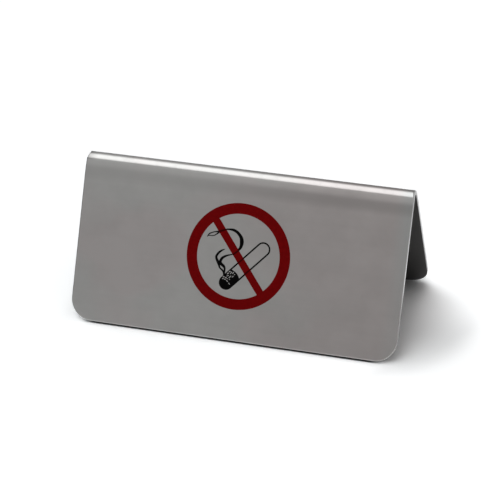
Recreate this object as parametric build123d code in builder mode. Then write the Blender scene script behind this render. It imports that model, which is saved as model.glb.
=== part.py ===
from build123d import *
import os
from math import cos, hypot, radians, sin, tan

# Table-top no smoking sign: one stainless sheet, folded across its middle into a tent.
# X runs along the fold, the printed face looks towards -Y, and Z is up.
# The origin is on the table, midway between the two feet and between the two ends.

# Folded sheet: a face's length is its flat part, from the end of the bend to its free edge
sheet_width = 120.0
sheet_thickness = 1.5
face_length = 57.7
opening_angle = 54.6
inner_bend_radius = 1.5
corner_radius = 7.75
edge_break = 0.2

# Printed ring and its bar, which falls to the right
ink_thickness = 0.06
ring_centre_above_edge = 30.0
ring_diameter = 37.8
ring_band = 3.8
bar_width = 2.7
bar_fall = 51.7

# Printed cigarette, which rises to the right: its middle is measured from the ring's centre
cigarette_centre = (2.69, -3.04)
cigarette_rise = 47.5
cigarette_length = 23.2
cigarette_width = 5.2
outline_width = 0.55
ember_length = 7.7
ember_front_radius = 4.25

# Light flecks left open in the ember, of two widths.
# Each has its x, y, length and slope, measured from the ring's centre.
broad_fleck_width = 0.4
broad_flecks = (
    (-2.45, -5.65, 0.7, 10),
    (-1.75, -5.85, 0.5, -40),
    (-3.05, -6.40, 0.8, 40),
    (-4.45, -7.75, 0.7, 0),
    (-3.65, -7.95, 0.7, 15),
)
fine_fleck_width = 0.3
fine_flecks = (
    (-1.15, -6.00, 0.9, 55),
    (-2.10, -6.30, 0.5, 60),
    (-0.55, -6.50, 0.4, 10),
    (-3.00, -7.20, 0.9, 20),
    (-2.15, -7.50, 1.2, 50),
    (-1.15, -7.30, 0.8, 50),
    (-3.05, -8.25, 0.5, -30),
    (-2.25, -8.45, 0.4, 75),
    (-4.65, -8.40, 0.7, 20),
    (-3.90, -8.60, 0.6, 0),
    (-3.05, -9.10, 0.9, -40),
    (-2.20, -9.95, 0.8, -45),
)

# Printed smoke, as brush strokes: x, y and stroke width at each station, measured from the ring's centre.
# The long curl starts at the tip of a leaf-shaped loop, swings over the bar and ends in the ember.
long_curl = (
    (-12.05, 5.55, 0.15),
    (-11.75, 6.15, 0.36),
    (-11.28, 6.80, 0.45),
    (-10.65, 7.16, 0.40),
    (-9.95, 7.48, 0.38),
    (-9.25, 7.70, 0.38),
    (-8.60, 7.80, 0.52),
    (-7.90, 7.88, 0.72),
    (-7.15, 8.10, 0.70),
    (-6.40, 8.50, 0.62),
    (-5.70, 8.88, 0.55),
    (-5.00, 9.08, 0.54),
    (-4.00, 9.17, 0.64),
    (-3.00, 9.14, 0.88),
    (-2.00, 8.88, 0.98),
    (-1.20, 8.45, 1.02),
    (-0.40, 7.75, 1.10),
    (0.30, 6.85, 1.22),
    (0.68, 5.80, 1.40),
    (0.78, 4.80, 1.36),
    (0.70, 3.90, 1.16),
    (0.42, 3.10, 0.98),
    (-0.05, 2.40, 0.80),
    (-0.60, 1.75, 0.62),
    (-1.25, 1.10, 0.48),
    (-1.95, 0.62, 0.40),
    (-2.65, 0.36, 0.40),
    (-3.35, 0.12, 0.50),
    (-4.10, -0.16, 0.64),
    (-4.80, -0.52, 0.76),
    (-5.45, -1.00, 0.86),
    (-5.95, -1.62, 0.94),
    (-6.24, -2.35, 1.00),
    (-6.14, -3.05, 1.06),
    (-5.55, -3.58, 1.06),
    (-4.92, -4.02, 0.98),
    (-4.50, -4.60, 0.76),
    (-4.38, -5.25, 0.62),
    (-4.44, -6.00, 0.70),
    (-4.46, -6.80, 0.66),
    (-4.46, -7.60, 0.60),
)
leaf_underside = (
    (-12.00, 5.70, 0.20),
    (-11.40, 6.10, 0.30),
    (-10.70, 6.14, 0.30),
    (-10.00, 6.20, 0.32),
    (-9.30, 6.48, 0.36),
    (-8.70, 6.92, 0.42),
    (-8.15, 7.42, 0.50),
    (-7.60, 7.86, 0.50),
)
short_curl = (
    (-5.00, 2.02, 0.12),
    (-5.70, 1.72, 0.45),
    (-6.40, 1.25, 0.65),
    (-7.05, 0.65, 0.76),
    (-7.58, -0.08, 0.80),
    (-7.92, -0.95, 0.80),
    (-7.70, -1.80, 0.90),
    (-7.26, -2.55, 1.00),
    (-6.84, -3.25, 1.00),
    (-6.58, -3.92, 0.80),
    (-6.34, -4.55, 0.60),
    (-5.74, -5.14, 0.60),
    (-5.16, -5.56, 0.62),
    (-4.78, -6.02, 0.60),
    (-4.58, -6.60, 0.50),
)

# Section of the fold, worked out from the sizes above: the sheet stands on the inner edges of its two feet
half_angle = radians(opening_angle / 2)
slope_length = face_length + inner_bend_radius / tan(half_angle)
foot_y = slope_length * sin(half_angle)
apex_z = slope_length * cos(half_angle)

# Plane of the printed face: its origin is the ring's centre, its x runs along the fold, its y up the slope
face_normal = (0, -cos(half_angle), sin(half_angle))
up_the_slope = (0, sin(half_angle), cos(half_angle))
ring_centre = tuple(
    foot + sheet_thickness * normal + ring_centre_above_edge * up
    for foot, normal, up in zip((0, -foot_y, 0), face_normal, up_the_slope)
)
printed_face = Plane(origin=ring_centre, x_dir=(1, 0, 0), z_dir=face_normal)

# Places within that plane
bar_place = Location((0, 0, 0), (0, 0, -bar_fall))
cigarette_place = Location((*cigarette_centre, 0), (0, 0, cigarette_rise))
ember_front_place = cigarette_place * Location((ember_length - cigarette_length / 2 - ember_front_radius, 0, 0))


def shortest_lines(part):
    """The straight edges that run through the sheet's thickness, which are its shortest."""
    return part.edges().filter_by(GeomType.LINE).group_by(SortBy.LENGTH)[0]


def brush_stroke(stations):
    """Outline of a stroke: a smooth line down each side of its stations, closed across both ends."""
    left_side = []
    right_side = []
    last = len(stations) - 1
    for index, (x, y, width) in enumerate(stations):
        x_before, y_before, _ = stations[max(index - 1, 0)]
        x_after, y_after, _ = stations[min(index + 1, last)]
        run_x = x_after - x_before
        run_y = y_after - y_before
        half_width = width / 2 / hypot(run_x, run_y)
        left_side.append((x - run_y * half_width, y + run_x * half_width))
        right_side.append((x + run_y * half_width, y - run_x * half_width))
    Spline(*left_side)
    Line(left_side[-1], right_side[-1])
    Spline(*reversed(right_side))
    Line(right_side[0], left_side[0])


# Folded sheet: its section is the inner line from foot to foot, thickened outwards
with BuildPart() as folded_sheet:
    with BuildSketch(Plane.YZ):
        with BuildLine():
            FilletPolyline((-foot_y, 0), (0, apex_z), (foot_y, 0), radius=inner_bend_radius)
            offset(amount=sheet_thickness, side=Side.LEFT)
        make_face()
    extrude(amount=sheet_width / 2, both=True)
    fillet(shortest_lines(folded_sheet), radius=corner_radius)
    # The outer skin is what looks up. Its outline is broken, except where the bend runs smoothly into the faces.
    outer_skin = folded_sheet.faces().filter_by(lambda face: face.normal_at().Z > sin(half_angle) / 2)
    bend_lines = folded_sheet.edges().filter_by(Axis.X).sort_by(Axis.Z)[-4:]
    fillet(outer_skin.edges() - bend_lines, radius=edge_break)
folded_sheet.part.label = "folded_sheet"

# The bar, cut to the ring's middle line so that it ends inside the ring
with BuildSketch() as bar_field:
    with Locations(bar_place):
        Rectangle(ring_diameter, bar_width)
    Circle((ring_diameter - ring_band) / 2, mode=Mode.INTERSECT)

# Red ink
with BuildPart() as red_print:
    with BuildSketch(printed_face) as red_field:
        Circle(ring_diameter / 2)
        Circle(ring_diameter / 2 - ring_band, mode=Mode.SUBTRACT)
        add(bar_field.sketch)
    extrude(amount=ink_thickness)
red_print.part.label = "red_print"

# The ember: the round lower end of the cigarette, with a bulging front
with BuildSketch() as ember_field:
    with Locations(ember_front_place):
        Circle(ember_front_radius)
    with Locations(cigarette_place):
        SlotOverall(cigarette_length, cigarette_width, mode=Mode.INTERSECT)

# Black ink: the cigarette's outline, its ember and the smoke, printed before the red that covers them
with BuildPart() as black_print:
    with BuildSketch(printed_face):
        with Locations(cigarette_place):
            SlotOverall(cigarette_length, cigarette_width)
            SlotOverall(
                cigarette_length - 2 * outline_width,
                cigarette_width - 2 * outline_width,
                mode=Mode.SUBTRACT,
            )
        add(ember_field.sketch)
        for stroke in (long_curl, leaf_underside, short_curl):
            with BuildLine():
                brush_stroke(stroke)
            make_face()
        for width, flecks in ((broad_fleck_width, broad_flecks), (fine_fleck_width, fine_flecks)):
            for x, y, length, slope in flecks:
                with Locations(Location((x, y, 0), (0, 0, slope))):
                    SlotOverall(length, width, mode=Mode.SUBTRACT)
        add(red_field.sketch_local, mode=Mode.SUBTRACT)
    extrude(amount=ink_thickness)
black_print.part.label = "black_print"

os.makedirs("parts", exist_ok=True)
for piece in (folded_sheet, red_print, black_print):
    export_step(piece.part, f"parts/{piece.part.label}.step")
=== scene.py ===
from math import cos, pi, radians, sin

import bmesh
import bpy
from mathutils import Matrix, Vector


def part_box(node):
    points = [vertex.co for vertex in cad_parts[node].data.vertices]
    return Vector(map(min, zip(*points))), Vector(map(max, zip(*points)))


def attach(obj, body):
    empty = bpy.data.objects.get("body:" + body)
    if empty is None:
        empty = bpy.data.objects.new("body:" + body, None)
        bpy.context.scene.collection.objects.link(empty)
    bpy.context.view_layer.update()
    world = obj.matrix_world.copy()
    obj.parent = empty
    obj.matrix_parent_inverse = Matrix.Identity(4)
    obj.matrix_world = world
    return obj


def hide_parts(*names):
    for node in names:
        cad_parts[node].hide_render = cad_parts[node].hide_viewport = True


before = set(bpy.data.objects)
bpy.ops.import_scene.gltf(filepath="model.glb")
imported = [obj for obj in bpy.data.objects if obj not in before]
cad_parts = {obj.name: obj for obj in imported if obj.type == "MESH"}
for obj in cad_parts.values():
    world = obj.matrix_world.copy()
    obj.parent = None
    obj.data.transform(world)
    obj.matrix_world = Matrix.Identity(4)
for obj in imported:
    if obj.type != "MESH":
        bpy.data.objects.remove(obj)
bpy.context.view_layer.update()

bl_info = {
    "name": "Folded No Smoking Sign",
    "version": (1, 0, 0),
    "blender": (4, 5, 0),
    "location": "View3D > Sidebar > Table Sign",
    "description": "Dresses a folded steel table sign: brushed sheet, red and black print, white table",
    "category": "Add Mesh",
}

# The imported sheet's box gives the width and the ring's box gives the place of the print
sheet_low, sheet_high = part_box("folded_sheet")
ring_low, ring_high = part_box("red_print")
ring_centre = (ring_low + ring_high) / 2

# Columns and rows of the sheet's grid. The rows of one half are shared by its bend, its flat and its corner.
COLUMNS = 60
BEND_ROWS = 30
FLAT_ROWS = 22
CORNER_ROWS = 16
HALF_ROWS = BEND_ROWS + FLAT_ROWS + CORNER_ROWS
EDGE_STEPS = 5
MERGE_DISTANCE = 2e-6
CREASE_ANGLE = radians(50)

# Where the outer skin stops drawing in at the ends of the bend, in metres down from the top of the fold
PINCH_FADE = (0.0, 0.0036)
PINCH_TAIL = (0.0020, 0.0070)

# Black lines that run on under the red bar: start, end and width in metres, from the ring's centre
CROSSINGS = (
    ((-0.0080, 0.0079), (-0.0057, 0.0089), 0.00070),
    ((0.0001, 0.0023), (-0.0019, 0.0005), 0.00060),
    ((0.0002, -0.0023), (0.0019, -0.0006), 0.00055),
    ((0.0031, -0.0059), (0.0046, -0.00435), 0.00055),
)

# Patterns of the steel, in blots to a metre: along the fold, down the face and through the sheet
STROKES = (12.0, 800.0, 300.0)
BANDS = (9.0, 160.0, 60.0)
CLOUDS = (62.0, 70.0, 70.0)
SMUDGES = (30.0, 36.0, 40.0)
FROSTING = (260.0, 420.0, 300.0)
CUT_LINES = (900.0, 900.0, 200.0)

# Patterns of the ink, in blots to a metre: an even mottle, and a grain along the fold
MOTTLE = (900.0, 900.0, 900.0)
GRAIN = (60.0, 2600.0, 2600.0)

# How deep the brushing and the ink's unevenness go, in metres
STROKE_DEPTH = 0.0000008
INK_RELIEF = 0.000004

# Tones of the steel where it is frosted or bare, and of the painted shade at the bend's left end, on the cut
# faces and in the band past the bend
FROSTED_STEEL = (0.40, 0.398, 0.394)
NEUTRAL_STEEL = (0.585, 0.602, 0.596)
BARE_STEEL = (0.90, 0.895, 0.89)
BEND_END_SHADE = (0.30, 0.298, 0.294)
CUT_SHADE_STEEL = (0.30, 0.297, 0.294)
BAND_SHADE_STEEL = (0.05, 0.048, 0.047)

# Stretches along the fold over which a tone changes, in metres to the right of the sign's middle
# Painted light: the outer skin is painted lighter to the left of this stretch
PAINTED_LIGHT_STOPS = (-0.020, 0.020)
WARM_STARTS = (0.000, 0.030)
WARM_DIPS = (-0.030, -0.005)
SHADE_BAND_GROWS = (-0.030, 0.040)
RIGHT_END = (0.0530, 0.0592)

# The same, in metres to the left of the middle
LEFT_END = (0.0555, 0.0600)

# The same down a face, in metres from the top of the fold, and for the painted dark band from the end of the
# bend
NEUTRAL_FADES = (0.010, 0.055)
# Where painted shade darkens the cut faces near the feet
NEAR_THE_FOOT = (0.033, 0.044)
SHADE_BAND_STARTS = (0.0014, 0.0034)
SHADE_BAND_ENDS = (0.0044, 0.0080)

# Warm patch: its middle and its half-lengths, along the fold and down the face. The front counts below zero.
WARM_PATCH = (-0.040, -0.032)
WARM_PATCH_REACH = (0.024, 0.019)

# The inner skin, rougher and darkened with painted shade, begins this close to the inner side
INNER_SKIN = 0.00002

# Table top: its size in metres, and how cool its white is
TABLE_RADIUS = 12.0
TABLE_SEGMENTS = 96
TABLE_TINT = (0.975, 1.0, 1.01)

# Painted reflection: the steel mirrors the table darker here than it is, in metres: to the left of the sign's
# middle, and behind it
DARK_TO_THE_LEFT = (0.075, 0.120)
DARK_BEHIND = (0.020, 0.060)

# Where the camera sees the table turn plain white, in metres. The shadow lies round a line along the fold:
# half that line's length, how far it lies in front of the fold, and how far from it the white begins.
SHADOW_HALF_LINE = 0.046
SHADOW_IN_FRONT = 0.003
CLEAR_AROUND = (0.0285, 0.0405)

# The white begins closer than that in these places, in metres from the sign's middle
CLEAR_IN_FRONT = (0.0292, 0.0330)
FRONT_CLEAR_ENDS = (0.045, 0.062)
CLEAR_TO_THE_LEFT = (0.0605, 0.0680)
CLEAR_TO_THE_RIGHT = (0.055, 0.062)
CLEAR_AT_THE_REAR = (-0.010, 0.012)

# Where the white grows, from left to right, and where it fades again behind the sign
WHITE_GROWS = (-0.050, 0.055)
WHITE_FADES = (0.030, 0.050)

# Painted contact shadows under the two feet: where each starts and ends, outwards from the middle, and its
# ends at the sides
FRONT_CONTACT_SHADOW = ((0.0270, 0.0279), (0.0288, 0.0298))
REAR_CONTACT_SHADOW = ((0.010, 0.0275), (0.0290, 0.0335))
FRONT_SHADOW_SIDES = (0.050, 0.057)
REAR_SHADOW_SIDES = (0.051, 0.063)

# Lights on a level ceiling, one unit up: where each starts and ends, to the right and then towards the rear
SOFTBOX_ACROSS = ((-0.93, -0.77), (-0.14, 0.31))
SOFTBOX_FRONT = (-1.22, -1.02)
SOFTBOX_REAR = (0.10, 0.80)
WINDOW_ENDS_ACROSS = (-1.30, -1.02)
WINDOW_DEEP = ((0.35, 0.85), (3.5, 5.0))
SIDE_LIGHT_ACROSS = ((0.10, 0.35), (0.60, 1.00))
SIDE_LIGHT_DEEP = ((-2.6, -2.0), (-0.90, -0.60))
CEILING_STARTS = 0.02

# Where the room's own tone changes, by the parts of a direction: to the right, to the left, up, to the rear
ROOM_DARKENS = (-0.36, -0.10)
ROOM_WARMS = (-0.30, -0.14)
ROOM_ENDS_LEFT = (0.42, 0.62)
ROOM_OVERHEAD = (0.40, 0.56)
ROOM_FRONT_TO_REAR = (-0.1, 0.1)

# Where the camera looks: a point above the table's middle, moved a little to the left and down in the picture
SIGHT_HEIGHT = 0.030
SIGHT_RIGHT = -0.000054
SIGHT_UP = -0.007603


def length(name, default, description):
    """A size in metres, shown with its unit."""
    return bpy.props.FloatProperty(
        name=name,
        description=description,
        default=default,
        min=0.0,
        precision=5,
        subtype="DISTANCE",
        unit="LENGTH",
    )


def angle(name, default_degrees, description):
    """An angle, stored in radians and shown in degrees."""
    return bpy.props.FloatProperty(
        name=name,
        description=description,
        default=radians(default_degrees),
        subtype="ANGLE",
        unit="ROTATION",
    )


def share(name, default, description, highest=1.0):
    """A plain number from zero up."""
    return bpy.props.FloatProperty(
        name=name,
        description=description,
        default=default,
        min=0.0,
        max=highest,
        precision=3,
    )


def colour(name, default, description):
    """A colour, red, green and blue in linear light."""
    return bpy.props.FloatVectorProperty(
        name=name,
        description=description,
        default=default,
        size=3,
        min=0.0,
        max=1.0,
        subtype="COLOR",
    )


class TABLESIGN_PG_sheet(bpy.types.PropertyGroup):
    width: length("Width", sheet_high.x - sheet_low.x, "Length of the fold, from end to end")
    thickness: length("Thickness", 0.0015, "Thickness of the steel sheet")
    face_length: length("Face Length", 0.0577, "Flat part of each face, from the bend to its free edge")
    opening_angle: angle("Opening Angle", 54.6, "Angle between the two faces, under the fold")
    inner_bend_radius: length("Inner Bend Radius", 0.0015, "Radius of the bend on its inner side")
    corner_radius: length("Corner Radius", 0.00775, "Radius of the four round corners")
    edge_break: length("Edge Break", 0.0003, "Radius on the edges of the outer skin")
    spring_back: angle("Spring Back", 4.0, "How far the faces still turn, in all, past the ends of the bend")
    spring_length: length("Spring Length", 0.0018, "Distance over which that turn dies out")
    bend_pinch: length("Bend Pinch", 0.0009, "How far the outer skin draws in at each end of the bend")
    light_steel: colour("Light Steel", (0.660, 0.662, 0.650), "Lighter tone of the brushed steel")
    dark_steel: colour("Dark Steel", (0.572, 0.574, 0.562), "Darker tone of the brushed steel")
    light_warm_steel: colour("Light Warm Steel", (0.655, 0.626, 0.618), "Lighter tone of its warm patches")
    dark_warm_steel: colour("Dark Warm Steel", (0.568, 0.541, 0.533), "Darker tone of its warm patches")
    # Painted shade: the inner faces get a dark tone for the shade inside the fold
    shaded_inner_steel: colour("Inner Steel", (0.17, 0.168, 0.165), "Tone of the dull inner faces")
    roughness: share("Roughness", 0.279, "Roughness of the brushed faces")


class TABLESIGN_PG_print(bpy.types.PropertyGroup):
    red: colour("Red Ink", (0.19, 0.0012, 0.0020), "Red of the ring and the bar")
    black: colour("Black Ink", (0.0020, 0.0019, 0.0019), "Black of the cigarette and its smoke")
    show_through: share("Show Through", 0.75, "How much the black under the red bar darkens it")
    roughness: share("Ink Roughness", 0.42, "Roughness of the dried ink")


class TABLESIGN_PG_studio(bpy.types.PropertyGroup):
    camera_azimuth: angle("Azimuth", 16.874, "Place of the camera, turned from the printed face to the right")
    camera_elevation: angle("Elevation", 30.833, "How far the camera stands above the table")
    camera_roll: angle("Roll", -1.321, "Turn of the picture about its own middle")
    camera_distance: length("Distance", 0.7521, "From the camera to the plane through the sign's middle")
    camera_lens: bpy.props.FloatProperty(
        name="Lens",
        description="Focal length on a sensor 36 mm wide",
        default=151.28,
        min=1.0,
        subtype="DISTANCE_CAMERA",
        unit="CAMERA",
    )
    table_tone: share("Table Tone", 0.6, "How much light the white table throws back")
    table_in_view: share("Table in View", 1.5, "The same, as the camera and the steel see it", 2.0)
    room_tone: share("Room Tone", 0.345, "Brightness of the room around the table")
    softbox_tone: share("Softbox Tone", 1.62, "Brightness of the soft light overhead", 10.0)
    window_tone: share("Window Tone", 3.0, "Brightness of the window to the left and behind", 10.0)
    side_light_tone: share("Side Light Tone", 1.1, "Brightness of the soft light to the front right", 10.0)
    light_tint: colour("Light Tint", (1.0, 1.0, 1.0), "Colour of the lights, and of the room to the left")
    room_tint: colour("Room Tint", (1.0, 0.94, 0.925), "Colour of the room to the right")


class Signal:
    """A node's output, which Python arithmetic turns into Math nodes."""

    def __init__(self, bench, socket):
        self.bench = bench
        self.socket = socket

    def maths(self, operation, *terms):
        sockets = dict(enumerate(terms))
        return self.bench.node("ShaderNodeMath", {"operation": operation}, sockets)

    def __add__(self, other):
        return self.maths("ADD", self, other)

    def __radd__(self, other):
        return self.maths("ADD", other, self)

    def __sub__(self, other):
        return self.maths("SUBTRACT", self, other)

    def __rsub__(self, other):
        return self.maths("SUBTRACT", other, self)

    def __mul__(self, other):
        return self.maths("MULTIPLY", self, other)

    def __rmul__(self, other):
        return self.maths("MULTIPLY", other, self)

    def __truediv__(self, other):
        return self.maths("DIVIDE", self, other)

    def __rtruediv__(self, other):
        return self.maths("DIVIDE", other, self)

    def __neg__(self):
        return self.maths("MULTIPLY", self, -1.0)

    def __abs__(self):
        return self.maths("ABSOLUTE", self)

    def __pow__(self, other):
        return self.maths("POWER", self, other)

    def __rpow__(self, other):
        return self.maths("POWER", other, self)

    def sign(self):
        return self.maths("SIGN", self)

    def sin(self):
        return self.maths("SINE", self)

    def cos(self):
        return self.maths("COSINE", self)

    def exp(self):
        return self.maths("EXPONENT", self)

    def least(self, other):
        return self.maths("MINIMUM", self, other)

    def most(self, other):
        return self.maths("MAXIMUM", self, other)

    def above(self, other):
        return self.maths("GREATER_THAN", self, other)

    def ramp(self, start, end):
        """From 0 at start to 1 at end, straight, and level outside."""
        return ((self - start) / (end - start)).most(0.0).least(1.0)

    def smooth(self, start, end):
        """From 0 at start to 1 at end, with a soft start and end."""
        rise = self.ramp(start, end)
        return rise * rise * (3.0 - 2.0 * rise)

    def band(self, rise, fall):
        """From 0 to 1 over the first pair of places, and back to 0 over the second."""
        return self.smooth(*rise) * (1.0 - self.smooth(*fall))


class Bench:
    """Adds nodes to one tree: a node's settings come first, then the values or links of its sockets."""

    def __init__(self, tree):
        self.tree = tree
        tree.nodes.clear()

    def node(self, kind, settings=None, sockets=None, out=0):
        node = self.tree.nodes.new(kind)
        for name, value in (settings or {}).items():
            setattr(node, name, value)
        for key, value in (sockets or {}).items():
            for item in value if isinstance(value, list) else [value]:
                if isinstance(item, Signal):
                    self.tree.links.new(item.socket, node.inputs[key])
                else:
                    node.inputs[key].default_value = item
        return Signal(self, node.outputs[out]) if node.outputs else None

    def parts(self, vector):
        """The three numbers of a vector."""
        split = self.node("ShaderNodeSeparateXYZ", None, {0: vector})
        return [Signal(self, output) for output in split.socket.node.outputs]

    def vector(self, x, y, z):
        return self.node("ShaderNodeCombineXYZ", None, {0: x, 1: y, 2: z})

    def stretch(self, vector, scale):
        """The vector with each of its numbers multiplied, as a pattern's own scale along each axis."""
        return self.node("ShaderNodeVectorMath", {"operation": "MULTIPLY"}, {0: vector, 1: scale})

    def noise(self, vector, detail, roughness):
        """Smooth noise around 0.5, with one blot to each unit of the vector."""
        sockets = {"Vector": vector, "Scale": 1.0, "Detail": detail, "Roughness": roughness}
        return self.node("ShaderNodeTexNoise", {"noise_dimensions": "3D"}, sockets, "Fac")

    def blend(self, factor, first, second):
        """From the first colour to the second."""
        settings = {"data_type": "RGBA", "blend_type": "MIX", "clamp_factor": True}
        return self.node("ShaderNodeMix", settings, {0: factor, 6: first, 7: second}, 2)

    def bump(self, height, distance, strength):
        sockets = {"Height": height, "Distance": distance, "Strength": strength}
        return self.node("ShaderNodeBump", None, sockets)


def opaque(rgb):
    return (*rgb, 1.0)


def new_material(name):
    material = bpy.data.materials.new(name)
    material.use_nodes = True
    return material, Bench(material.node_tree)


def finish_material(bench, sockets):
    shader = bench.node("ShaderNodeBsdfPrincipled", {"distribution": "MULTI_GGX"}, sockets)
    bench.node("ShaderNodeOutputMaterial", None, {"Surface": shader})


def face_place(bench, opening_angle):
    """Place on the printed face, from the ring's centre: along the fold, and up the slope."""
    half = opening_angle / 2
    place = bench.node("ShaderNodeTexCoord", None, None, "Object")
    x, y, z = bench.parts(place)
    return x - ring_centre.x, (y - ring_centre.y) * sin(half) + (z - ring_centre.z) * cos(half)


def sheet_tree():
    """Node tree of the folded sheet: a grid, its round rim and its inner skin, laid out flat and folded."""
    tree = bpy.data.node_groups.new("folded_sheet_form", "GeometryNodeTree")
    bench = Bench(tree)
    sizes = (
        "Width",
        "Thickness",
        "Face Length",
        "Opening Angle",
        "Inner Bend Radius",
        "Corner Radius",
        "Edge Break",
        "Spring Back",
        "Spring Length",
        "Bend Pinch",
    )
    for name in sizes:
        tree.interface.new_socket(name, in_out="INPUT", socket_type="NodeSocketFloat")
    tree.interface.new_socket("Finish", in_out="INPUT", socket_type="NodeSocketMaterial")
    tree.interface.new_socket("Sheet", in_out="OUTPUT", socket_type="NodeSocketGeometry")
    given = bench.node("NodeGroupInput").socket.node
    width, thickness, face, opening, inner_radius, corner, edge, turn, turn_length, pinch = (
        Signal(bench, given.outputs[name]) for name in sizes
    )

    def stored(name):
        return bench.node("GeometryNodeInputNamedAttribute", {"data_type": "FLOAT"}, {"Name": name})

    def store(geometry, name, value, where=None, kind="FLOAT"):
        sockets = {"Geometry": geometry, "Name": name, "Value": value}
        if where is not None:
            sockets["Selection"] = where
        settings = {"data_type": kind, "domain": "POINT"}
        return bench.node("GeometryNodeStoreNamedAttribute", settings, sockets)

    def grid():
        sockets = {"Size X": 2.0, "Size Y": 2.0, "Vertices X": COLUMNS + 1, "Vertices Y": 2 * HALF_ROWS + 1}
        return bench.node("GeometryNodeMeshGrid", None, sockets, "Mesh")

    # Outer skin, then the rim in rings: a narrow flat strip, the round edge, another strip and the cut face.
    # Each ring has its inset from the outline and its depth below the outer skin.
    strip = edge * 0.25
    rings = [(edge, 0.0)]
    for step in range(1, EDGE_STEPS + 1):
        around = pi / 2 * step / EDGE_STEPS
        rings.append((edge * (1 - sin(around)), edge * (1 - cos(around))))
    rings.append((0.0, edge + strip))
    rings.append((0.0, thickness))
    skin = store(store(grid(), "inset", edge + strip), "depth", 0.0)
    faces_beside = bench.node("GeometryNodeInputMeshEdgeNeighbors")
    rim = bench.node(
        "FunctionNodeCompare",
        {"data_type": "INT", "operation": "EQUAL"},
        {2: faces_beside, 3: 1},
    )
    for inset, depth in rings:
        grown = bench.node(
            "GeometryNodeExtrudeMesh",
            {"mode": "EDGES"},
            {"Mesh": skin, "Selection": rim, "Offset Scale": 0.0},
        )
        rim = Signal(bench, grown.socket.node.outputs["Top"])
        skin = store(store(grown, "inset", inset, rim), "depth", depth, rim)
    underside = bench.node("GeometryNodeFlipFaces", None, {"Mesh": grid()})
    underside = store(store(underside, "inset", 0.0), "depth", thickness)
    shell = bench.node("GeometryNodeJoinGeometry", None, {"Geometry": [skin, underside]})

    # The flat blank: across goes from -1 to 1 from end to end, and along from the front foot to the rear one
    across, along, _ = bench.parts(bench.node("GeometryNodeInputPosition"))
    inset, depth = stored("inset"), stored("depth")
    reach, side = abs(along), along.sign()
    bend_share = reach.ramp(0.0, BEND_ROWS / HALF_ROWS)
    flat_share = reach.ramp(BEND_ROWS / HALF_ROWS, (BEND_ROWS + FLAT_ROWS) / HALF_ROWS)
    corner_turn = reach.ramp((BEND_ROWS + FLAT_ROWS) / HALF_ROWS, 1.0) * (pi / 2)
    rounding = corner - inset

    # The fold: round the bend, and then down each slope. The faces go on turning past the ends of the bend,
    # so it is a little tighter than its radius and ends that much sooner, and the top keeps its height.
    half = opening / 2
    full_turn = pi / 2 - half
    outer_radius = inner_radius + thickness
    bend_turn = full_turn - turn
    sunk = outer_radius - turn * turn_length
    lift = bend_turn / 2
    gain = lift.sin() / lift.cos()
    leaning = full_turn.cos() + full_turn.sin() * gain
    early = (outer_radius - sunk * leaning) / (half.cos() - half.sin() * gain)
    bend_radius = (sunk * full_turn.sin() - early * half.sin()) / bend_turn.sin()
    foot_drop = face + inner_radius * half.cos() / half.sin()
    nominal_z = foot_drop * half.cos() - inner_radius / half.sin()
    bend_z = nominal_z + outer_radius - bend_radius

    slope = (face - corner + early) * flat_share + rounding * corner_turn.sin()
    beyond = slope - early
    fading = turn * (-slope / turn_length).exp()
    tilt = bend_turn * bend_share + (turn - fading) * reach.above(BEND_ROWS / HALF_ROWS)
    in_bend = 1.0 - reach.above(BEND_ROWS / HALF_ROWS)
    round_y = bend_radius * (bend_turn * bend_share).sin()
    round_z = bend_z + bend_radius * (bend_turn * bend_share).cos()
    level = outer_radius - fading * turn_length
    slope_y = level * full_turn.sin() + beyond * half.sin()
    slope_z = nominal_z + level * full_turn.cos() - beyond * half.cos()
    skin_y = round_y * in_bend + slope_y * (1.0 - in_bend)
    skin_z = round_z * in_bend + slope_z * (1.0 - in_bend)
    folded_y = (skin_y - depth * tilt.sin()) * side
    folded_z = skin_z - depth * tilt.cos()

    # The outer skin is stretched round the bend, so it draws in at both its ends. The inner skin doesn't.
    skin_run = bend_share * full_turn * outer_radius + slope
    at_top = (1.0 - skin_run.smooth(*PINCH_FADE)) * 0.75 + (1.0 - skin_run.smooth(*PINCH_TAIL)) * 0.25
    drawn_in = pinch * at_top * (0.72 - across * 0.28) * (1.0 - depth / thickness)
    blank_x = across * (width / 2 - corner + rounding * corner_turn.cos() - drawn_in)
    blank_y = side * (bend_share * full_turn * (inner_radius + thickness / 2) + slope)
    shell = store(shell, "blank", bench.vector(blank_x, blank_y, depth), None, "FLOAT_VECTOR")
    sockets = {"Geometry": shell, "Position": bench.vector(blank_x, folded_y, folded_z)}
    shell = bench.node("GeometryNodeSetPosition", None, sockets)
    shell = bench.node("GeometryNodeMergeByDistance", None, {"Geometry": shell, "Distance": MERGE_DISTANCE})
    sockets = {"Geometry": shell, "Shade Smooth": True}
    shell = bench.node("GeometryNodeSetShadeSmooth", {"domain": "FACE"}, sockets)
    crease = bench.node("GeometryNodeInputMeshEdgeAngle").above(CREASE_ANGLE)
    sockets = {"Geometry": shell, "Selection": crease, "Shade Smooth": False}
    shell = bench.node("GeometryNodeSetShadeSmooth", {"domain": "EDGE"}, sockets)
    shell = bench.node("GeometryNodeRealizeInstances", None, {"Geometry": shell})
    finish = Signal(bench, given.outputs["Finish"])
    shell = bench.node("GeometryNodeSetMaterial", None, {"Geometry": shell, "Material": finish})
    bench.node("NodeGroupOutput", None, {0: shell})
    return tree


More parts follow.
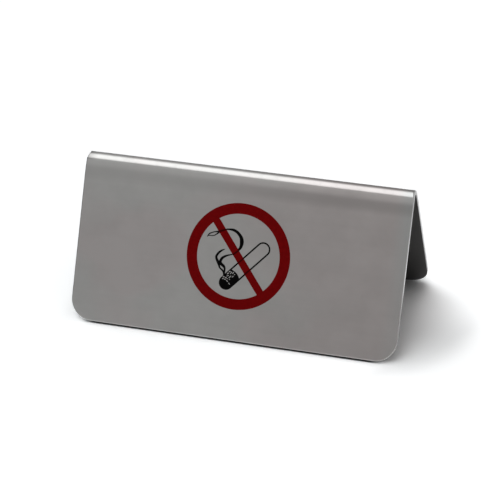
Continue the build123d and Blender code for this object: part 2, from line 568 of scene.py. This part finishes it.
def made_by_nodes(name, tree, inputs):
    """A plain mesh object made by a node tree, with the given values on its named inputs."""
    seed = bpy.data.objects.new(name + "_seed", bpy.data.meshes.new(name + "_seed"))
    bpy.context.scene.collection.objects.link(seed)
    modifier = seed.modifiers.new(name, "NODES")
    modifier.node_group = tree
    for item in tree.interface.items_tree:
        if item.item_type == "SOCKET" and item.in_out == "INPUT":
            modifier[item.identifier] = inputs[item.name]
    depsgraph = bpy.context.evaluated_depsgraph_get()
    mesh = bpy.data.meshes.new_from_object(
        seed.evaluated_get(depsgraph), preserve_all_data_layers=True, depsgraph=depsgraph
    )
    seed.modifiers.remove(modifier)
    bpy.data.objects.remove(seed)
    mesh.name = name
    body = bmesh.new()
    body.from_mesh(mesh)
    bmesh.ops.recalc_face_normals(body, faces=body.faces)
    body.to_mesh(mesh)
    body.free()
    piece = bpy.data.objects.new(name, mesh)
    bpy.context.scene.collection.objects.link(piece)
    return piece


def worn_skin_with_painted_light(bench, sizes, blank, strokes, clouds):
    """The outer skin: brushed and clouded, with painted light on the left, warm patches and a neutral right
    end.
    """
    x, y, _ = bench.parts(blank)
    bands = bench.noise(bench.stretch(blank, BANDS), 1.0, 0.5)
    smudges = bench.noise(bench.stretch(blank, SMUDGES), 2.0, 0.5)
    # Painted light: the skin is painted lighter towards the left
    painted_left_light = (1.0 - x.smooth(*PAINTED_LIGHT_STOPS)) * 0.35
    wear_and_painted_light = 0.5 + (strokes - 0.5) * 0.20 + (bands - 0.5) * 0.25 + (clouds - 0.5) * 1.7 + painted_left_light
    pale = bench.blend(wear_and_painted_light, opaque(sizes.dark_steel), opaque(sizes.light_steel))
    warm = bench.blend(wear_and_painted_light, opaque(sizes.dark_warm_steel), opaque(sizes.light_warm_steel))
    patch_x = (x - WARM_PATCH[0]) / WARM_PATCH_REACH[0]
    patch_y = (y - WARM_PATCH[1]) / WARM_PATCH_REACH[1]
    patch = (1.0 - patch_x * patch_x - patch_y * patch_y).most(0.0)
    warmed = (smudges - 0.50) * 5.0 + 0.35 + patch * 1.5
    warmed = warmed + x.smooth(*WARM_STARTS) * 1.2 - x.smooth(*WARM_DIPS) * 0.3
    neutral = x.smooth(*RIGHT_END) * (1.0 - abs(y).smooth(*NEUTRAL_FADES) * 0.5)
    return bench.blend(neutral, bench.blend(warmed, pale, warm), opaque(NEUTRAL_STEEL))


def frosted_and_shaded_skin(bench, skin, blank, clouds, bend_reach, in_bend):
    """The same skin, frosted in the bend, with painted shade at its left end and in a dark band just past it.
    """
    x, y, _ = bench.parts(blank)
    frost = bench.noise(bench.stretch(blank, FROSTING), 3.0, 0.6)
    skin = bench.blend((frost - 0.5) * 1.1 * in_bend, skin, opaque(FROSTED_STEEL))
    # Painted shade: the left end of the bend is darkened
    skin = bench.blend((-x).smooth(*LEFT_END) * 0.70 * in_bend, skin, opaque(BEND_END_SHADE))
    # Painted shade: a dark band just past the bend, growing towards the right
    shade_band = (abs(y) - bend_reach).band(SHADE_BAND_STARTS, SHADE_BAND_ENDS)
    shade_band = shade_band * (0.10 + x.smooth(*SHADE_BAND_GROWS) * 0.12) * (0.7 + clouds * 0.6)
    return bench.blend(shade_band, skin, opaque(BAND_SHADE_STEEL))


def cut_face(bench, sizes, blank, cut_lines, in_bend):
    """The cut faces: bright bare metal, with painted shade near the feet and at the left end of the bend."""
    x, y, _ = bench.parts(blank)
    bright = bench.blend(cut_lines, opaque(sizes.light_steel), opaque(BARE_STEEL))
    # Painted shade: the cut faces are darkened near the feet and at the bend's left end
    shaded = (abs(y).smooth(*NEAR_THE_FOOT) * 0.80).most((-x).above(0.0) * in_bend * 0.75)
    return bench.blend(shaded, bright, opaque(CUT_SHADE_STEEL))


def brushed_steel(sizes):
    """Satin steel, brushed along the fold, with soft clouds, bare cut faces, and rougher inner faces in
    painted shade.
    """
    material, bench = new_material("brushed_steel")
    blank = bench.node("ShaderNodeAttribute", {"attribute_name": "blank"}, None, "Vector")
    _, y, depth = bench.parts(blank)
    strokes = bench.noise(bench.stretch(blank, STROKES), 0.0, 0.5)
    clouds = bench.noise(bench.stretch(blank, CLOUDS), 3.0, 0.6)
    cut_lines = bench.noise(bench.stretch(blank, CUT_LINES), 1.0, 0.5)

    bend_reach = (pi / 2 - sizes.opening_angle / 2) * (sizes.inner_bend_radius + sizes.thickness / 2)
    in_bend = 1.0 - abs(y).smooth(bend_reach * 0.9, bend_reach * 1.3)
    inner = depth.smooth(sizes.thickness - INNER_SKIN, sizes.thickness)
    cut = depth.smooth(sizes.edge_break * 0.4, sizes.edge_break) * (1.0 - inner)

    skin = worn_skin_with_painted_light(bench, sizes, blank, strokes, clouds)
    skin = frosted_and_shaded_skin(bench, skin, blank, clouds, bend_reach, in_bend)
    # Painted shade: the inner faces take the dark inner tone
    skin = bench.blend(inner, skin, opaque(sizes.shaded_inner_steel))
    clouded = clouds - 0.5
    roughness = sizes.roughness + clouded.least(0.0) * -0.02 + clouded.most(0.0) * 0.03 + inner * 0.15
    relief = (strokes - 0.5) * (1.0 - cut) + (cut_lines - 0.5) * cut
    finish_material(
        bench,
        {
            "Base Color": bench.blend(cut, skin, cut_face(bench, sizes, blank, cut_lines, in_bend)),
            "Metallic": 1.0,
            "Roughness": roughness,
            "Normal": bench.bump(relief, STROKE_DEPTH, 0.8),
        },
    )
    return material


def printed_ink(name, rgb, settings, shade=None):
    """Screen ink: a thin even film with a faint mottle. The shade is 1 where something dark lies under it."""
    material, bench = new_material(name)
    place = bench.node("ShaderNodeTexCoord", None, None, "Object")
    mottle = bench.noise(bench.stretch(place, MOTTLE), 3.0, 0.6)
    grain = bench.noise(bench.stretch(place, GRAIN), 2.0, 0.5)
    thin = tuple(min(1.0, part * 1.25 + 0.0006) for part in rgb)
    thick = tuple(part * 0.86 for part in rgb)
    ink = bench.blend((mottle - 0.5) * 1.6 + 0.5, opaque(thick), opaque(thin))
    if shade is not None:
        buried = tuple(part * (1 - settings.show_through) for part in rgb)
        ink = bench.blend(shade(bench), ink, opaque(buried))
    finish_material(
        bench,
        {
            "Base Color": ink,
            "Roughness": settings.roughness + (mottle - 0.5) * 0.16,
            "Specular IOR Level": 0.03,
            "Normal": bench.bump(mottle * 0.5 + grain * 0.5, INK_RELIEF, 0.6),
        },
    )
    return material


def buried_lines(bench):
    """1 where a black line runs on under the red bar, and 0 elsewhere."""
    across, up = face_place(bench, bpy.context.scene.table_sign_sheet.opening_angle)
    total = 0.0
    for start, end, width in CROSSINGS:
        run = Vector(end) - Vector(start)
        unit = run.normalized()
        ahead = ((across - start[0]) * unit.x + (up - start[1]) * unit.y).most(0.0).least(run.length)
        off_x = across - start[0] - ahead * unit.x
        off_y = up - start[1] - ahead * unit.y
        aside = (off_x * off_x + off_y * off_y) ** 0.5
        total = total + (1.0 - aside.smooth(width * 0.35, width * 0.65))
    return total.least(1.0)


class TABLESIGN_OT_fold_sheet(bpy.types.Operator):
    """Make the folded sheet and give it its brushed steel"""

    bl_idname = "table_sign.fold_sheet"
    bl_label = "Fold the Sheet"

    def execute(self, context):
        sizes = context.scene.table_sign_sheet
        inputs = {
            "Width": sizes.width,
            "Thickness": sizes.thickness,
            "Face Length": sizes.face_length,
            "Opening Angle": sizes.opening_angle,
            "Inner Bend Radius": sizes.inner_bend_radius,
            "Corner Radius": sizes.corner_radius,
            "Edge Break": sizes.edge_break,
            "Spring Back": sizes.spring_back,
            "Spring Length": sizes.spring_length,
            "Bend Pinch": sizes.bend_pinch,
            "Finish": brushed_steel(sizes),
        }
        sheet = made_by_nodes("brushed_folded_sheet", sheet_tree(), inputs)
        if not sheet.data.polygons:
            raise RuntimeError("the node tree made no sheet")
        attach(sheet, "root")
        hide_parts("folded_sheet")
        return {"FINISHED"}


class TABLESIGN_OT_red_print(bpy.types.Operator):
    """Give the printed ring and bar their red ink"""

    bl_idname = "table_sign.red_print"
    bl_label = "Print the Red"

    def execute(self, context):
        settings = context.scene.table_sign_print
        ink = printed_ink("red_screen_ink", settings.red, settings, buried_lines)
        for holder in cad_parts["red_print"].material_slots:
            holder.material = ink
        return {"FINISHED"}


class TABLESIGN_OT_black_print(bpy.types.Operator):
    """Give the printed cigarette and its smoke their black ink"""

    bl_idname = "table_sign.black_print"
    bl_label = "Print the Black"

    def execute(self, context):
        settings = context.scene.table_sign_print
        ink = printed_ink("black_screen_ink", settings.black, settings)
        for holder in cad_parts["black_print"].material_slots:
            holder.material = ink
        return {"FINISHED"}


class TABLESIGN_OT_studio(bpy.types.Operator):
    """Set the white table, the soft light overhead and the camera"""

    bl_idname = "table_sign.studio"
    bl_label = "Set the Studio"

    def execute(self, context):
        settings = context.scene.table_sign_studio
        self.lay_table(settings)
        self.light_room(context, settings)
        self.place_camera(context, settings)
        context.scene.view_settings.view_transform = "Standard"
        return {"FINISHED"}

    def lay_table(self, settings):
        """A wide white table top, which shows as plain white except in the sign's shadow."""
        body = bmesh.new()
        bmesh.ops.create_circle(body, cap_ends=True, segments=TABLE_SEGMENTS, radius=TABLE_RADIUS)
        mesh = bpy.data.meshes.new("table_top")
        body.to_mesh(mesh)
        body.free()
        table = bpy.data.objects.new("table_top", mesh)
        bpy.context.scene.collection.objects.link(table)
        material, bench = new_material("white_table")
        tone = self.table_tone(bench, settings)
        cooled = bench.vector(*(tone * part for part in TABLE_TINT))
        surface = bench.node("ShaderNodeBsdfDiffuse", None, {"Color": cooled})
        bench.node("ShaderNodeOutputMaterial", None, {"Surface": surface})
        mesh.materials.append(material)

    def table_tone(self, bench, settings):
        """How much light the table throws back: more to the camera and to the steel than to the room."""
        path = bench.node("ShaderNodeLightPath").socket.node
        camera, glossy = (Signal(bench, path.outputs[name]) for name in ("Is Camera Ray", "Is Glossy Ray"))
        x, y, _ = bench.parts(bench.node("ShaderNodeTexCoord", None, None, "Object"))
        left, front, from_middle = -x, -y, abs(x)
        in_view = settings.table_in_view
        tone = settings.table_tone + (in_view - settings.table_tone) * camera.most(glossy)

        # Painted reflection: the steel mirrors the table darker far to the left of the sign, and a little
        # darker behind it, than it is
        mirrored = (1.0 - left.smooth(*DARK_TO_THE_LEFT) * 0.88) * (1.0 - y.smooth(*DARK_BEHIND) * 0.38)
        tone = tone * (1.0 - glossy * (1.0 - mirrored))

        # The camera sees plain white past the shadow: all round, in front, at the left, and behind the right
        aside = (from_middle - SHADOW_HALF_LINE).most(0.0)
        behind = y + SHADOW_IN_FRONT
        away = (aside * aside + behind * behind) ** 0.5
        clear = away.smooth(*CLEAR_AROUND)
        clear = clear.most(front.smooth(*CLEAR_IN_FRONT) * (1.0 - x.smooth(*FRONT_CLEAR_ENDS)))
        clear = clear.most(left.smooth(*CLEAR_TO_THE_LEFT))
        clear = clear.most(y.smooth(*CLEAR_AT_THE_REAR) * x.smooth(*CLEAR_TO_THE_RIGHT))
        lift = 0.12 + x.smooth(*WHITE_GROWS) * (1.0 - y.smooth(*WHITE_FADES)) * 0.25
        tone = tone + camera * clear * lift

        # Painted contact shadows, where the two feet meet the table
        front_contact_shadow = front.band(*FRONT_CONTACT_SHADOW) * (1.0 - from_middle.smooth(*FRONT_SHADOW_SIDES))
        rear_contact_shadow = y.band(*REAR_CONTACT_SHADOW) * (1.0 - from_middle.smooth(*REAR_SHADOW_SIDES))
        return tone * (1.0 - front_contact_shadow * 0.93) * (1.0 - rear_contact_shadow * 0.65)

    def light_room(self, context, settings):
        """A grey room with soft lights overhead and to the front right, and a window to the left and behind.

        The steel doesn't mirror the window, which only lights what faces it.
        """
        world = bpy.data.worlds.new("studio_room")
        world.use_nodes = True
        context.scene.world = world
        bench = Bench(world.node_tree)
        mirrored = bench.node("ShaderNodeLightPath", None, None, "Is Glossy Ray")
        x, y, z = bench.parts(bench.node("ShaderNodeTexCoord", None, None, "Generated"))

        # Places on a level ceiling, one unit up: how far to the right, and how far towards the rear
        overhead = z.above(CEILING_STARTS)
        height = z.most(CEILING_STARTS)
        sideways, backward = x / height, y / height
        slanted = backward + (sideways + 0.40) * 0.9
        softbox = sideways.band(*SOFTBOX_ACROSS) * slanted.smooth(*SOFTBOX_FRONT)
        softbox = softbox * (1.0 - backward.smooth(*SOFTBOX_REAR)) * overhead
        window = (1.0 - sideways.smooth(*WINDOW_ENDS_ACROSS)) * backward.band(*WINDOW_DEEP)
        window = window * overhead * (1.0 - mirrored)
        side_light = sideways.band(*SIDE_LIGHT_ACROSS) * backward.band(*SIDE_LIGHT_DEEP) * overhead

        # The room is darker to the right and far to the left, and a little brighter above the front
        room = settings.room_tone * (1.0 - (x + 0.25) * 0.4) * (1.0 - x.smooth(*ROOM_DARKENS) * 0.24)
        room = room * (1.0 - (-x).smooth(*ROOM_ENDS_LEFT) * 0.85)
        room = room * (1.0 + z.smooth(*ROOM_OVERHEAD) * (1.0 - y.smooth(*ROOM_FRONT_TO_REAR)) * 0.35)
        glow = room + (settings.softbox_tone - room) * softbox + (settings.window_tone - room) * window
        glow = glow + (settings.side_light_tone - room) * side_light * (1.0 - softbox)
        warmth = x.smooth(*ROOM_WARMS) * (1.0 - softbox.most(window).most(side_light))
        tint = bench.blend(warmth, opaque(settings.light_tint), opaque(settings.room_tint))
        light = bench.node("ShaderNodeBackground", None, {"Color": tint, "Strength": glow})
        bench.node("ShaderNodeOutputWorld", None, {"Surface": light})

    def place_camera(self, context, settings):
        """The photograph's view: the picture's middle lies a little below the sign's own middle."""
        around, above = settings.camera_azimuth, settings.camera_elevation
        back = Vector((sin(around) * cos(above), -cos(around) * cos(above), sin(above)))
        level = Vector((cos(around), sin(around), 0.0))
        upright = back.cross(level)
        roll = settings.camera_roll
        right = level * cos(roll) + upright * sin(roll)
        up = upright * cos(roll) - level * sin(roll)
        middle = Vector((0.0, 0.0, SIGHT_HEIGHT)) + right * SIGHT_RIGHT + up * SIGHT_UP
        camera = bpy.data.objects.new("table_camera", bpy.data.cameras.new("table_camera"))
        bpy.context.scene.collection.objects.link(camera)
        camera.data.lens = settings.camera_lens
        camera.data.sensor_width = 36.0
        camera.data.sensor_fit = "HORIZONTAL"
        camera.data.clip_start = 0.01
        camera.data.clip_end = 50.0
        turned = Matrix((right, up, back)).transposed().to_4x4()
        camera.matrix_world = Matrix.Translation(middle + back * settings.camera_distance) @ turned
        context.scene.camera = camera


class TABLESIGN_PT_panel(bpy.types.Panel):
    """Sizes, colours and steps of the table sign"""

    bl_idname = "TABLESIGN_PT_panel"
    bl_label = "Table Sign"
    bl_space_type = "VIEW_3D"
    bl_region_type = "UI"
    bl_category = "Table Sign"

    def draw(self, context):
        for title, settings, steps in (
            ("Sheet", context.scene.table_sign_sheet, (TABLESIGN_OT_fold_sheet,)),
            ("Print", context.scene.table_sign_print, (TABLESIGN_OT_red_print, TABLESIGN_OT_black_print)),
            ("Studio", context.scene.table_sign_studio, (TABLESIGN_OT_studio,)),
        ):
            box = self.layout.box()
            box.label(text=title)
            for name in type(settings).__annotations__:
                box.prop(settings, name)
            for step in steps:
                box.operator(step.bl_idname)


STEPS = (TABLESIGN_OT_fold_sheet, TABLESIGN_OT_red_print, TABLESIGN_OT_black_print, TABLESIGN_OT_studio)
GROUPS = {
    "table_sign_sheet": TABLESIGN_PG_sheet,
    "table_sign_print": TABLESIGN_PG_print,
    "table_sign_studio": TABLESIGN_PG_studio,
}


def register():
    for kind in (*GROUPS.values(), *STEPS, TABLESIGN_PT_panel):
        bpy.utils.register_class(kind)
    for name, group in GROUPS.items():
        setattr(bpy.types.Scene, name, bpy.props.PointerProperty(type=group))


def unregister():
    for name in GROUPS:
        delattr(bpy.types.Scene, name)
    for kind in reversed((*GROUPS.values(), *STEPS, TABLESIGN_PT_panel)):
        bpy.utils.unregister_class(kind)


def main():
    register()
    bpy.ops.table_sign.fold_sheet()
    bpy.ops.table_sign.red_print()
    bpy.ops.table_sign.black_print()
    bpy.ops.table_sign.studio()


if __name__ == "__main__":
    main()
